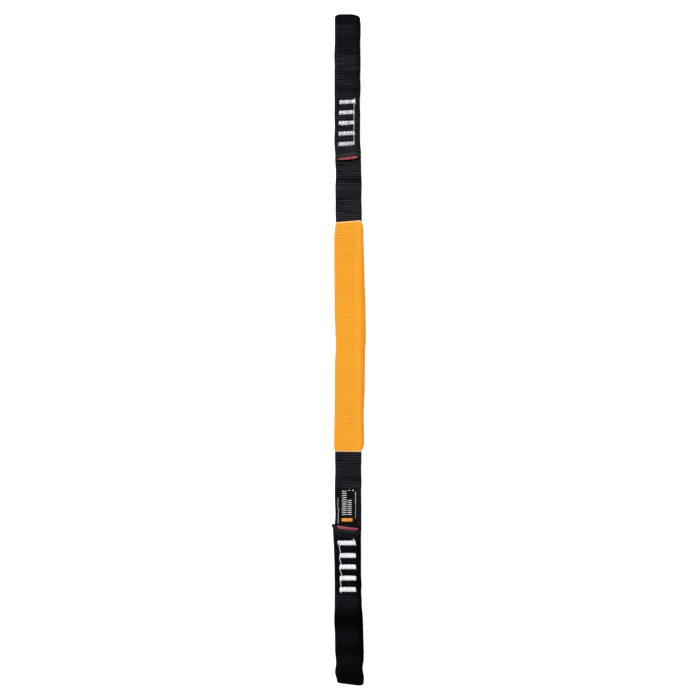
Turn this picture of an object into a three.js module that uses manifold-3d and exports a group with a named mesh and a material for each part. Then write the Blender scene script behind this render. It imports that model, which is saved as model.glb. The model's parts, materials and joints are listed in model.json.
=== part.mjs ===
// Webbing anchor sling, lying flat on a surface. Millimetres, +Z up, +Y towards the upper eye,
// origin at the middle of the sling on the surface it lies on.
//
// A flat tubular webbing with a wear-indicator core inside ends in a sewn eye at each end. Five bar tacks
// close each eye. A protective sleeve slides on the middle, and a ribbon label is caught under the lower
// tail. The webbing and its core are divided at two fold lines, one beside each sewn zone.
import * as THREE from "three";
import { mergeVertices } from "three/addons/utils/BufferGeometryUtils.js";
import Module from "manifold-3d";

const wasm = await Module();
wasm.setup();

// Driving dimensions
const HALF_LENGTH = 335; // from the middle of the sling to the tip of each eye
const WEB_WIDTH = 25.5;
const WEB_THICK = 2.6; // one ply, flattened, with the core inside
const SELVEDGE_ROUND = 1;
const CHANNEL_WIDTH = 22; // the flat hollow inside the tubular webbing
const CHANNEL_THICK = 1.2;
const CORE_WIDTH = 21.4;
const CORE_THICK = 0.7;
const SLIDE_GAP = 0.2; // clearance between the webbing and the sleeve

const SLEEVE_WIDTH = 29.8;
const SLEEVE_WALL = 0.9;
const SLEEVE_START = -101.5;
const SLEEVE_END = 127.5;
const WEB_OFFSET = -1.05; // the webbing lies against the left fold of the wider sleeve

const RUN_HEIGHT = SLEEVE_WALL + SLIDE_GAP + WEB_THICK / 2; // middle of the webbing inside the sleeve
const FOLD_GAP = 1.2; // between the round end of the run and the leg, so that the leg can fold past upright
const EYE_GAP = 9; // height of the open eye at its tip
const EYE_SETTLES = 25; // from the sewn zone to where the lower ply lies flat
const EYE_FULLNESS = 0.8; // below 1, the eye opens early
const PLY_GAP = 0.2; // between the two sewn plies
const PINCH_START = 4; // past the first tack, the plies close up over this stretch
const PINCH_LENGTH = 5;
const THREAD_THICK = 0.4; // the raised thread of a bar tack
const THREAD_GAP = 0.15;
const SEWN_HEIGHT = THREAD_THICK + THREAD_GAP + 0.05 + WEB_THICK / 2; // middle of the lower ply there

const TACK_COUNT = 5;
const TACK_WIDTH = 16.5;
const TACK_LEG = 0.5;
const JUMP_RADIUS = 0.3;

const LABEL_WIDTH = 20.7;
const LABEL_THICK = 0.5;
const LABEL_OFFSET = -1.7;
const LABEL_GAP = 0.2; // above and below the ribbon
const LABEL_START = 4.5; // free end, from the lower fold line
const LABEL_HINGE = 40.3; // the line along which the tail holds the ribbon
const LABEL_END = 63.5;
const FLAP_GAP = 0.5; // from the hinge line to the flap, and to the root below
const ROOT_GAP = 0.9;

const TAIL_SPARE = 8; // how far the tail runs on before its slanting end is cut
const CUT_SLOPE = 1.6; // along the webbing for each unit of height
const CUTTER_REACH = 30; // longer than anything that is cut away
const CHANNEL_SPARE = 2; // the hollow runs out past both ends of the webbing

const CURVE_STEP = 4; // spacing of the points on a leg's line: lower ply, upper ply and pinch
const TAIL_STEP = 6;
const PINCH_STEP = 2;
const TIP_POINTS = 14;

// Distances along a leg are measured outwards from its fold line
const UPPER = {
  prefix: "upper",
  turned: 1,
  fold: 184.5,
  tail: 4.7, // middle of the cut end's lower edge
  cutSkew: 0.085, // the cut end isn't square to the webbing
  firstTack: 21.1,
  secondTack: 31.55,
  tackPitch: 10.45,
  tackLength: 4.7,
  tackTilt: 0.07,
  tackOffset: -1.7, // across, from the middle of the webbing
  rootGap: PLY_GAP, // between the plies at the cut end
  jumpX: 5.4,
};
const LOWER = {
  prefix: "lower",
  turned: -1, // this leg is built outwards and then turned half round
  fold: 135,
  tail: 43,
  cutSkew: -0.085,
  firstTack: 58.4,
  secondTack: 71,
  tackPitch: 11.3,
  tackLength: 5.4,
  tackTilt: 0,
  tackOffset: -0.9,
  rootGap: LABEL_THICK + 2 * LABEL_GAP,
  jumpX: 8.4,
};

function finish(color, roughness) {
  return new THREE.MeshStandardMaterial({ color, roughness, metalness: 0 });
}

const BLACK_WEBBING = 0x1d2023;
const RED_CORE = 0x6d3634;
const ORANGE_SLEEVE = 0xf5a42e;
const WHITE_THREAD = 0xdcdde2;
const BLACK_SATIN = 0x141518;

// Solids

function toSolid(geometry) {
  const plain = geometry.clone();
  plain.deleteAttribute("normal");
  plain.deleteAttribute("uv");
  const merged = mergeVertices(plain, 1e-4);
  return new wasm.Manifold(new wasm.Mesh({
    numProp: 3,
    vertProperties: new Float32Array(merged.attributes.position.array),
    triVerts: new Uint32Array(merged.index.array),
  }));
}

function toGeometry(solid) {
  const { vertProperties, triVerts } = solid.getMesh();
  const geometry = new THREE.BufferGeometry();
  geometry.setAttribute("position", new THREE.BufferAttribute(vertProperties, 3));
  geometry.setIndex(new THREE.BufferAttribute(triVerts, 1));
  geometry.computeVertexNormals();
  return geometry;
}

function block(width, length, height, x, y, z) {
  return new THREE.BoxGeometry(width, length, height).translate(x, y, z);
}

// A side outline of (y, z) points made into a strip that runs across the sling and is centred on it
function strip(outline, width, round = 0) {
  const geometry = new THREE.ExtrudeGeometry(new THREE.Shape(outline), {
    depth: width - 2 * round,
    bevelEnabled: round > 0,
    bevelThickness: round,
    bevelSize: round,
    bevelOffset: -round,
    bevelSegments: 3,
  });
  geometry.translate(0, 0, round - width / 2);
  const [x, y, z] = [new THREE.Vector3(1, 0, 0), new THREE.Vector3(0, 1, 0), new THREE.Vector3(0, 0, 1)];
  return geometry.applyMatrix4(new THREE.Matrix4().makeBasis(y, z, x));
}

// The outline of a ribbon of the given thickness along a line of (y, z) points
function ribbonOutline(line, thickness) {
  const offset = (side) => line.map((point, i) => {
    const before = line[Math.max(i - 1, 0)];
    const after = line[Math.min(i + 1, line.length - 1)];
    const along = after.clone().sub(before).normalize();
    return new THREE.Vector2(-along.y, along.x).multiplyScalar(side * thickness / 2).add(point);
  });
  return [...offset(-1), ...offset(1).reverse()];
}

// The line carried on straight past both of its ends
function lengthened(line, by) {
  const past = (end, inner) => end.clone().sub(inner).normalize().multiplyScalar(by).add(end);
  return [past(line[0], line[1]), ...line, past(line.at(-1), line.at(-2))];
}

function ease(t) {
  const s = THREE.MathUtils.clamp(t, 0, 1);
  return s * s * (3 - 2 * s);
}

// A rectangle with fully round ends
function stadium(width, height) {
  const shape = new THREE.Shape();
  const half = (width - height) / 2;
  shape.absarc(half, 0, height / 2, -Math.PI / 2, Math.PI / 2, false);
  shape.absarc(-half, 0, height / 2, Math.PI / 2, Math.PI * 1.5, false);
  return shape;
}

// The run: one ply between the two fold lines, with round ends that the legs fold on

function makeRun() {
  const from = -LOWER.fold;
  const to = UPPER.fold;
  const radius = WEB_THICK / 2;
  const side = new THREE.Shape();
  side.absarc(to, RUN_HEIGHT, radius, -Math.PI / 2, Math.PI / 2, false);
  side.absarc(from, RUN_HEIGHT, radius, Math.PI / 2, Math.PI * 1.5, false);
  const length = to - from;
  const middle = (from + to) / 2;
  const sheath = toSolid(strip(side.getPoints(5), WEB_WIDTH, SELVEDGE_ROUND))
    .subtract(toSolid(block(CHANNEL_WIDTH, length + WEB_WIDTH, CHANNEL_THICK, 0, middle, RUN_HEIGHT)));
  const core = block(CORE_WIDTH, length + radius, CORE_THICK, 0, middle, RUN_HEIGHT);
  return [
    new THREE.Mesh(toGeometry(sheath), finish(BLACK_WEBBING, 0.8)),
    new THREE.Mesh(core, finish(RED_CORE, 0.85)),
  ];
}

// The protective sleeve: a flattened tube, open at both mouths

function makeSleeve() {
  const thick = WEB_THICK + 2 * (SLIDE_GAP + SLEEVE_WALL);
  const section = stadium(SLEEVE_WIDTH, thick);
  section.holes.push(stadium(SLEEVE_WIDTH - 2 * SLEEVE_WALL, thick - 2 * SLEEVE_WALL));
  const geometry = new THREE.ExtrudeGeometry(section, {
    depth: SLEEVE_END - SLEEVE_START,
    bevelEnabled: false,
    curveSegments: 8,
  });
  geometry.rotateX(-Math.PI / 2).translate(0, SLEEVE_START, RUN_HEIGHT);
  return new THREE.Mesh(geometry, finish(ORANGE_SLEEVE, 0.75));
}

// A leg: the webbing runs out to the tip of the eye, turns, and comes back over itself to its cut end

function tackPlace(leg, index) {
  return index === 0 ? leg.firstTack : leg.secondTack + (index - 1) * leg.tackPitch;
}

function legShape(leg) {
  const reach = HALF_LENGTH - leg.fold;
  const turn = (EYE_GAP + WEB_THICK) / 2;
  const turnAt = reach - turn - WEB_THICK / 2;
  const start = WEB_THICK / 2 + FOLD_GAP;
  const sewnFrom = leg.firstTack - leg.tackLength;
  const sewnTo = tackPlace(leg, TACK_COUNT - 1) + leg.tackLength * 0.75;
  const flatFrom = sewnTo + EYE_SETTLES;
  const pinchFrom = leg.firstTack + PINCH_START;

  const lower = (y) => {
    const toSewn = (SEWN_HEIGHT - RUN_HEIGHT) * Math.min((y - start) / (sewnFrom - start), 1);
    const toFlat = (WEB_THICK / 2 - SEWN_HEIGHT) * ease((y - sewnTo) / (flatFrom - sewnTo));
    return RUN_HEIGHT + toSewn + toFlat;
  };
  const gap = (y) => {
    const root = leg.rootGap + (PLY_GAP - leg.rootGap) * ease((y - pinchFrom) / PINCH_LENGTH);
    const open = ease(Math.max((y - sewnTo) / (turnAt - sewnTo), 0) ** EYE_FULLNESS);
    return root + (EYE_GAP - PLY_GAP) * open;
  };
  const upper = (y) => lower(y) + WEB_THICK + gap(y);
  return { turn, turnAt, start, sewnFrom, sewnTo, flatFrom, pinchFrom, lower, upper };
}

// Places from one distance to another, no further apart than the step
function places(from, to, step) {
  const count = Math.ceil((to - from) / step);
  return Array.from({ length: count + 1 }, (_, i) => from + (to - from) * i / count);
}

function legLine(leg) {
  const s = legShape(leg);
  const out = [s.start, s.sewnFrom, ...places(s.sewnTo, s.flatFrom, CURVE_STEP), s.turnAt];
  const lower = out.map((y) => new THREE.Vector2(y, s.lower(y)));
  const tip = new THREE.EllipseCurve(s.turnAt, s.lower(s.turnAt) + s.turn, s.turn, s.turn,
    -Math.PI / 2, Math.PI / 2).getPoints(TIP_POINTS).slice(1, -1);
  const back = [
    ...places(s.sewnTo, s.turnAt, TAIL_STEP).reverse(),
    ...places(s.pinchFrom, s.pinchFrom + PINCH_LENGTH, PINCH_STEP).reverse(),
    s.sewnFrom,
    leg.tail - TAIL_SPARE,
  ];
  const upper = back.map((y) => new THREE.Vector2(y, s.upper(y)));
  return [...lower, ...tip, ...upper];
}

// Everything past the slanting cut end of the tail, which shows the core from above
function tailCutter(leg) {
  const s = legShape(leg);
  const foot = s.upper(leg.tail) - WEB_THICK / 2;
  const low = foot - leg.rootGap / 2;
  const high = foot + WEB_THICK * 2;
  const outline = [
    new THREE.Vector2(-CUTTER_REACH, low),
    new THREE.Vector2((low - foot) * CUT_SLOPE, low),
    new THREE.Vector2((high - foot) * CUT_SLOPE, high),
    new THREE.Vector2(-CUTTER_REACH, high),
  ];
  return strip(outline, WEB_WIDTH * 1.5).rotateZ(leg.cutSkew).translate(0, leg.tail, 0);
}

// A bar tack is a belt of thread: a raised bar above and below the plies, joined through them at both ends
function tackSpan(leg, index) {
  const s = legShape(leg);
  const at = tackPlace(leg, index);
  const out = WEB_THICK / 2 + THREAD_GAP + THREAD_THICK;
  return { at, low: s.lower(at) - out, high: s.upper(at) + out };
}

function makeTack(leg, index) {
  const { at, low, high } = tackSpan(leg, index);
  const height = high - low;
  const bar = block(TACK_WIDTH, leg.tackLength, height, 0, 0, 0);
  const plies = block(TACK_WIDTH - 2 * TACK_LEG, leg.tackLength * 2, height - 2 * THREAD_THICK, 0, 0, 0);
  const mesh = new THREE.Mesh(toGeometry(cut(toSolid(bar), [plies])), finish(WHITE_THREAD, 0.6));
  mesh.position.set(leg.turned * leg.tackOffset, at, (low + high) / 2);
  mesh.rotation.z = leg.tackTilt;
  return mesh;
}

function tackSlots(leg) {
  const clear = 2 * THREAD_GAP;
  const slots = [];
  for (let index = 0; index < TACK_COUNT; index += 1) {
    for (const side of [-1, 1]) {
      const x = side * (TACK_WIDTH - TACK_LEG) / 2;
      const slot = block(TACK_LEG + clear, leg.tackLength + clear, CUTTER_REACH, x, 0, 0);
      const turned = slot.rotateZ(leg.tackTilt);
      slots.push(turned.translate(leg.turned * leg.tackOffset, tackPlace(leg, index), 0));
    }
  }
  return slots;
}

function cut(solid, cutters) {
  return cutters.reduce((left, cutter) => left.subtract(toSolid(cutter)), solid);
}

// The thread left uncut from the first tack to the last: it lies over each bar and dips between them
function makeJumpThread(leg) {
  const points = [];
  for (let index = 0; index < TACK_COUNT; index += 1) {
    const { at, high } = tackSpan(leg, index);
    const over = high + THREAD_GAP + JUMP_RADIUS;
    const near = new THREE.Vector3(leg.jumpX, at - leg.tackLength / 2, over);
    const far = new THREE.Vector3(leg.jumpX, at + leg.tackLength / 2, over);
    if (index > 0) {
      const between = points.at(-1).clone().lerp(near, 0.5);
      points.push(between.sub(new THREE.Vector3(JUMP_RADIUS, 0, THREAD_THICK / 2)));
    }
    points.push(near, far);
  }
  const section = new THREE.Shape().absarc(0, 0, JUMP_RADIUS, 0, Math.PI * 2, false);
  const geometry = new THREE.ExtrudeGeometry(section, {
    steps: 10 * (TACK_COUNT - 1),
    curveSegments: 3,
    extrudePath: new THREE.CatmullRomCurve3(points),
  });
  return new THREE.Mesh(geometry, finish(WHITE_THREAD, 0.6));
}

function makeLeg(leg) {
  const line = legLine(leg);
  const cutters = [...tackSlots(leg), tailCutter(leg)];
  const channel = strip(ribbonOutline(lengthened(line, CHANNEL_SPARE), CHANNEL_THICK), CHANNEL_WIDTH);
  const sheath = cut(toSolid(strip(ribbonOutline(line, WEB_THICK), WEB_WIDTH, SELVEDGE_ROUND)),
    [channel, ...cutters]);
  const core = cut(toSolid(strip(ribbonOutline(line, CORE_THICK), CORE_WIDTH)), cutters);

  const named = {
    [`webbing_${leg.prefix}_eye`]: new THREE.Mesh(toGeometry(sheath), finish(BLACK_WEBBING, 0.8)),
    [`core_${leg.prefix}_eye`]: new THREE.Mesh(toGeometry(core), finish(RED_CORE, 0.85)),
    [`${leg.prefix}_jump_thread`]: makeJumpThread(leg),
  };
  for (let index = 0; index < TACK_COUNT; index += 1) {
    named[`${leg.prefix}_tack_${index + 1}`] = makeTack(leg, index);
  }
  const group = new THREE.Group();
  for (const [name, mesh] of Object.entries(named)) {
    mesh.name = name;
    group.add(mesh);
  }
  return group;
}

// The label: a satin ribbon on the lower leg, caught between its plies by the first tack

function makeLabelRoot() {
  const s = legShape(LOWER);
  const from = LABEL_HINGE + ROOT_GAP;
  const line = [from, LOWER.firstTack - LOWER.tackLength, LABEL_END]
    .map((y) => new THREE.Vector2(y, s.lower(y) + WEB_THICK / 2 + LABEL_GAP + LABEL_THICK / 2));
  const ribbon = strip(ribbonOutline(line, LABEL_THICK), LABEL_WIDTH);
  ribbon.translate(LOWER.turned * LABEL_OFFSET, 0, 0);
  const solid = cut(toSolid(ribbon), tackSlots(LOWER));
  return new THREE.Mesh(toGeometry(solid), finish(BLACK_SATIN, 0.5));
}

function makeLabelFlap() {
  const s = legShape(LOWER);
  const line = [LABEL_START, LABEL_HINGE - FLAP_GAP]
    .map((y) => new THREE.Vector2(y, s.lower(y) + WEB_THICK / 2 + LABEL_GAP + LABEL_THICK / 2));
  const ribbon = strip(ribbonOutline(line, LABEL_THICK), LABEL_WIDTH);
  ribbon.translate(LOWER.turned * LABEL_OFFSET, 0, 0);
  return new THREE.Mesh(ribbon, finish(BLACK_SATIN, 0.5));
}

const sling = new THREE.Group();

const [webbingRun, coreRun] = makeRun();
webbingRun.name = "webbing_run";
coreRun.name = "core_run";
const runGroup = new THREE.Group();
runGroup.position.x = WEB_OFFSET;
runGroup.add(webbingRun, coreRun);

const sleeve = makeSleeve();
sleeve.name = "sleeve";

const upperLeg = makeLeg(UPPER);
upperLeg.position.set(WEB_OFFSET, UPPER.fold, 0);

const lowerLeg = makeLeg(LOWER);
lowerLeg.position.set(WEB_OFFSET, -LOWER.fold, 0);
lowerLeg.rotation.z = Math.PI;
const labelRoot = makeLabelRoot();
labelRoot.name = "label_root";
const labelFlap = makeLabelFlap();
labelFlap.name = "label_flap";
lowerLeg.add(labelRoot, labelFlap);

sling.add(runGroup, sleeve, upperLeg, lowerLeg);

export default sling;
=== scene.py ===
"""A webbing sling with a protective sleeve: the visible surfaces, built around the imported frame.

Lengths in this script are millimetres in the frame's own axes (+Y towards the upper eye, +Z up), and
become metres when a mesh is made. A strap's surface is swept along the line that its ply follows: along
the run, round the tip of an eye, and back over itself to the cut end of its tail.
"""

import json
import math

import bmesh
import bpy
import numpy as np
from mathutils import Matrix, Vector


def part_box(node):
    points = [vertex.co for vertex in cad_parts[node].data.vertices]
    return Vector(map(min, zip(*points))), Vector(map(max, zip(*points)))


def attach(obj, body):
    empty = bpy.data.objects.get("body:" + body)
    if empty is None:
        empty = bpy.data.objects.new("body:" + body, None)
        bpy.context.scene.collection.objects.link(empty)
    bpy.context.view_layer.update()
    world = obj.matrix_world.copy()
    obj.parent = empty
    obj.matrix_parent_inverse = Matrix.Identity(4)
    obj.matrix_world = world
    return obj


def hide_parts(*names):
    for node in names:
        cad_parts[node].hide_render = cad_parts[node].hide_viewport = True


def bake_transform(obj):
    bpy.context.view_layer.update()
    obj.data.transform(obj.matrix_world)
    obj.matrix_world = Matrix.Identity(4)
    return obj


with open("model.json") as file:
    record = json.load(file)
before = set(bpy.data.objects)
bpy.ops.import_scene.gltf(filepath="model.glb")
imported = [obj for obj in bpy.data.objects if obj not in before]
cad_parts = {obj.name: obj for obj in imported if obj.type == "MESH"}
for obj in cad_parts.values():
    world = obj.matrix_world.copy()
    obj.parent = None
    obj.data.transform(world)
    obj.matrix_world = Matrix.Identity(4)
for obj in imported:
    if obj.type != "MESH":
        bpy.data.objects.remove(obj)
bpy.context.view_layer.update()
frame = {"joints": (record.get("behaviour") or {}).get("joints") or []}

MM = 0.001
UP = np.array([0.0, 0.0, 1.0])

# Weave
RIB_PITCH = 2.1
RIB_DEPTH = 0.36
RIB_ROWS = np.array([0.0, 0.1, 0.26, 0.5, 0.74, 0.9])  # places in one rib where its surface has points
RIB_ROUNDNESS = 0.75
YARN_PITCH = 0.95
NOMINAL_WIDE = 25.5  # of the webbing; it varies by about 1 along the sling
SELVEDGE = 1.3  # the rounded side of a flattened ply
RIM_BULGE = 0.32  # how far a heat-cut rim swells past its walls
FACE_COLUMNS = 22
SIDE_COLUMNS = 4
HOLLOW = (21.6, 1.2)  # width and height of the space inside a ply
SEAM = 20.0  # the upper and lower halves of the visible webbing meet here, inside the sleeve

# Sewn zones
TACKS = 5
TACK_BELOW = 0.55  # how far a tack stands out under the lower ply
TAIL_PAST_TACK = 16.7  # from the first tack to the cut end
CUT_SLANT = {"upper": 0.06, "lower": -0.045}
LIP_BACK = {"upper": 5.4, "lower": 4.8}  # the top wall of a cut tail stands back, which shows the core
LIP_BEVEL = 1.2  # the inside of the top wall reaches further than its outside
LIP_MELT_AND_HIGHLIGHT = {"upper": 1.0, "lower": 0.15}  # how pale the top wall's lip is: melted, with painted highlight where its edge catches the light
LIP_SHAPED = 11.0  # the top wall draws back over this length before the cut end
CUT_SHAPED = 14.0  # and the slant of the cut fades out over this one
TIP_SHAPED = 13.0  # the same for the turned edge of an eye
# The left and the right corner of a cut end: how far each falls back, and the power of its curve
CORNER_BACK = {"upper": ((3.0, 6.0), (2.4, 2.5)), "lower": ((-1.7, 3.4), (1.0, 3.0))}
CORE_COLUMNS = 20
CORE_SPREAD = {"upper": 0.1, "lower": 0.16}  # the share by which the core is wider where it is cut
CORE_SHORT = 0.3  # how far inside the cut end it stops
EYE_SETTLES = 25.0  # past the last tack, the lower ply comes down to the surface over this length
PLY_GAP = 0.2  # between the two sewn plies
LABEL_ROOM = 0.9  # and between them where the label's root lies

STROKES = 24  # threads across one bar tack
THREAD = 0.34
BED_THREADS = 4
DULLER = 0.4  # how much duller than the strokes the threads beside and under them are


# Values from the frame

def corners(node):
    low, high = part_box(node)
    return np.array(low) / MM, np.array(high) / MM


def joint_place(name):
    return next(np.array(j["pos_m"]) / MM for j in frame["joints"] if j["name"] == name)


RUN_LOW, RUN_HIGH = corners("webbing_run")
SLEEVE_LOW, SLEEVE_HIGH = corners("sleeve")
CORE_LOW, CORE_HIGH = corners("core_run")
FLAP_LOW, FLAP_HIGH = corners("label_flap")
ROOT_LOW, _ = corners("label_root")
THICK = RUN_HIGH[2] - RUN_LOW[2]
RUN_Z = (RUN_HIGH[2] + RUN_LOW[2]) / 2
CORE_SIZE = CORE_HIGH - CORE_LOW


def ease(t):
    s = np.clip(t, 0, 1)
    return s * s * (3 - 2 * s)


def bump_at(y, middle, half, soft):
    """1 within half of the middle, easing to 0 over soft."""
    return 1 - ease((np.abs(y - middle) - half) / soft)


def curve(*stops):
    """A function through (place, value) stops that eases from each one to the next."""
    at, value = np.array(sorted(stops), float).T

    def read(y):
        i = np.clip(np.searchsorted(at, y) - 1, 0, len(at) - 2)
        t = ease((y - at[i]) / (at[i + 1] - at[i]))
        return value[i] + (value[i + 1] - value[i]) * t
    return read


def wander(seed, amount, wavelength):
    """A slow, seeded irregularity along a strap, as a function of the distance along it."""
    rng = np.random.default_rng(seed)
    waves = [(rng.uniform(0.6, 1.9), rng.uniform(0, 2 * math.pi), rng.uniform(0.4, 1)) for _ in range(6)]

    def read(s):
        turns = 2 * math.pi * s / wavelength
        return amount * sum(a * np.sin(turns * f + p) for f, p, a in waves) / 2
    return read


# The line that a leg's plies follow, in the side view

class Leg:
    """One end of the sling, with distances (u) that run outwards from its fold line."""

    def __init__(self, name):
        self.name = name
        self.sign = 1 if name == "upper" else -1
        self.fold = joint_place(f"{name}_leg_fold")[1]
        low, high = corners(f"webbing_{name}_eye")
        self.reach = abs((high if self.sign > 0 else low)[1] - self.fold)
        self.turn = (high[2] - THICK) / 2
        self.turn_at = self.reach - self.turn - THICK / 2
        self.tacks = [self.tack(i + 1) for i in range(TACKS)]
        self.first = self.tacks[0]["u"]
        self.sewn_from = self.first - self.tacks[0]["long"]
        self.sewn_to = self.tacks[-1]["u"] + 0.75 * self.tacks[-1]["long"]
        self.sewn_z = self.tacks[1]["low"] + TACK_BELOW + THICK / 2
        self.root_gap = PLY_GAP if name == "upper" else LABEL_ROOM
        self.tail = self.first - TAIL_PAST_TACK

    def tack(self, index):
        low, high = corners(f"{self.name}_tack_{index}")
        middle = (low + high) / 2
        return {"node": f"{self.name}_tack_{index}", "u": abs(middle[1] - self.fold), "x": middle[0],
                "y": middle[1], "wide": high[0] - low[0], "long": high[1] - low[1], "low": low[2]}

    def lower(self, u):
        """Height of the middle of the ply that lies below."""
        sewn = (self.sewn_z - RUN_Z) * np.clip(u / self.sewn_from, 0, 1)
        flat = (THICK / 2 - self.sewn_z) * ease((u - self.sewn_to) / EYE_SETTLES)
        return RUN_Z + sewn + flat

    def upper(self, u):
        root = self.root_gap + (PLY_GAP - self.root_gap) * ease((u - self.first - 4) / 5)
        opened = np.clip((u - self.sewn_to) / (self.turn_at - self.sewn_to), 0, 1) ** 0.8
        return self.lower(u) + THICK + root + (2 * self.turn - THICK - PLY_GAP) * ease(opened)


class Line:
    """A leg's line, measured by the distance (s) along it from the seam to the cut end of the tail."""

    SPARE = 4.0  # it carries on past the cut end

    def __init__(self, leg):
        start = leg.sign * (SEAM - leg.fold)
        out = np.linspace(start, leg.turn_at, 700)
        tip = np.linspace(-math.pi / 2, math.pi / 2, 60)[1:-1]
        back = np.linspace(leg.turn_at, leg.tail - self.SPARE, 400)
        u = np.concatenate([out, leg.turn_at + leg.turn * np.cos(tip), back])
        z = np.concatenate([leg.lower(out), leg.lower(leg.turn_at) + leg.turn * (1 + np.sin(tip)),
                            leg.upper(back)])
        self.leg = leg
        self.y = leg.fold + leg.sign * u
        self.z = z
        self.tail = np.concatenate([0 * out, tip / math.pi + 0.5, 0 * back + 1])  # 0 main ply, 1 tail ply
        self.s = np.concatenate([[0], np.cumsum(np.hypot(np.diff(self.y), np.diff(z)))])
        self.length = self.s[-1] - self.SPARE
        self.ribs = int(round(self.length / RIB_PITCH))

    def at(self, s):
        """Y, Z, share of the tail, and the unit normal that points into the eye."""
        near = 0.5
        y, z = np.interp(s, self.s, self.y), np.interp(s, self.s, self.z)
        dy = np.interp(s + near, self.s, self.y) - np.interp(s - near, self.s, self.y)
        dz = np.interp(s + near, self.s, self.z) - np.interp(s - near, self.s, self.z)
        size = np.hypot(dy, dz) * self.leg.sign
        return y, z, np.interp(s, self.s, self.tail), -dz / size, dy / size

    def fine_rows(self):
        rows = (np.arange(self.ribs)[:, None] + RIB_ROWS).ravel() * self.length / self.ribs
        return np.append(rows, self.length)

    def coarse_rows(self):
        return np.linspace(0, self.length, self.ribs + 1)


UPPER = Leg("upper")
LOWER = Leg("lower")

# The middle of each ply across the sling, and its width, against Y
MAIN_X = {
    "upper": curve((SEAM, -0.55), (75, -0.55), (115, -0.95), (178, -1.1), (196, -1.5),
                   (207, -2.25), (218, -2.1), (290, -2.15), (335, -1.95)),
    "lower": curve((-329, 1.2), (-319, 0.1), (-311, 0.9), (-276, 0.8), (-252, -0.9), (-243, -1.55),
                   (-235, -1.15), (-225, -1.5), (-140, -1.45), (-100, -1.32), (-30, -0.55), (SEAM, -0.55)),
}
TAIL_X = {
    "upper": curve((190, -1.45), (206, -2.55), (222, -2.5), (262, -2.3), (303, -2.0), (335, -1.95)),
    "lower": curve((-330, 0.2), (-321, -1.2), (-313, -0.5), (-300, -1.5), (-268, -2.2), (-240, -1.85),
                   (-212, -2.2), (-190, -2.6), (-178, -2.6)),
}
MAIN_WIDE = {
    "upper": curve((SEAM, 25.3), (70, 25.3), (115, 26.35), (163, 26.5), (177, 25.6), (188, 26.4),
                   (206, 25.8), (230, 25.6), (262, 25.9), (335, 25.7)),
    "lower": curve((-335, 26.7), (-300, 26.4), (-230, 26.4), (-150, 26.7), (-100, 26.5), (-30, 25.3),
                   (SEAM, 25.3)),
}
TAIL_WIDE = {
    "upper": curve((190, 25.8), (205, 25.5), (240, 25.4), (262, 26.0), (290, 26.3), (310, 25.8),
                   (335, 25.7)),
    "lower": curve((-335, 26.7), (-300, 26.3), (-220, 26.3), (-190, 27.4), (-178, 28.2)),
}
# How far the top lip stands back at each place across the cut end, as a share of LIP_BACK
LENS = {"upper": curve((-0.97, 0.0), (-0.86, 0.5), (-0.69, 0.76), (-0.25, 0.92), (0.25, 0.94), (0.5, 1.03),
                       (0.78, 0.75), (0.97, 0.0)),
        "lower": curve((-0.84, 0.0), (-0.77, 0.85), (-0.6, 0.85), (0.1, 0.92), (0.48, 1.04), (0.66, 0.9),
                       (0.93, 0.62), (0.99, 0.0))}
# The turned edge of an eye: how it slants, and how far its left and right corners fall back
TIP = {"upper": {"slant": 0.0, "left": 1.9, "right": 3.0, "lift": 0.0, "powers": (5, 3)},
       "lower": {"slant": 0.124, "left": 0.5, "right": 1.5, "lift": -0.3, "powers": (7, 5)}}
# Slow irregularities in the width, and across
WIDTH_WANDER = {"upper": wander(3, 0.22, 37), "lower": wander(4, 0.22, 41)}
X_WANDER = {"upper": wander(5, 0.16, 53), "lower": wander(6, 0.16, 47)}
# The bar tacks of each leg. "each" holds, from the cut end outwards, how far a tack lies across from its
# place in the frame, its tilt and its extra width.
TACK_STYLE = {
    "upper": {"tone": 0.34, "streaks": 1.25, "ragged": 1.0, "arch": 0.0, "long": 4.4, "wide": 15.6,
              "each": [(-0.2, 0.085, 0.5), (-0.2, 0.045, 0.4), (-0.1, 0.035, 0.2), (0.0, 0.05, -0.1),
                       (0.65, 0.045, 0.5)]},
    "lower": {"tone": 1.0, "streaks": 0.4, "ragged": 0.15, "arch": 0.35, "long": 5.1, "wide": 16.4,
              "each": [(-1.0, 0.0, 1.5), (0.1, 0.0, -0.4), (0.0, 0.0, -0.1), (0.35, 0.0, -0.1),
                       (0.1, 0.0, -0.1)]},
}


def ply_x(leg, y, tail):
    return MAIN_X[leg.name](y) * (1 - tail) + TAIL_X[leg.name](y) * tail


def ply_width(leg, y, tail):
    return MAIN_WIDE[leg.name](y) * (1 - tail) + TAIL_WIDE[leg.name](y) * tail


# Meshes

def make_piece(name, points, faces, material, uv, **values):
    """A smooth mesh from points in millimetres. uv is (across, along) for each point, for the weave."""
    mesh = bpy.data.meshes.new(name)
    mesh.from_pydata((points * MM).tolist(), [], faces)
    mesh.materials.append(material)
    for key, value in values.items():
        mesh.attributes.new(key, "FLOAT", "POINT").data.foreach_set("value", np.asarray(value, np.float32))
    work = bmesh.new()
    work.from_mesh(mesh)
    bmesh.ops.recalc_face_normals(work, faces=work.faces)
    work.to_mesh(mesh)
    work.free()
    mesh.polygons.foreach_set("use_smooth", [True] * len(mesh.polygons))
    corner = np.zeros(len(mesh.loops), np.int64)
    mesh.loops.foreach_get("vertex_index", corner)
    placed = (uv[corner] * MM).astype(np.float32)
    mesh.uv_layers.new(name="weave").data.foreach_set("uv", placed.ravel())
    mesh.update()
    obj = bpy.data.objects.new(name, mesh)
    bpy.context.scene.collection.objects.link(obj)
    return obj


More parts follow.
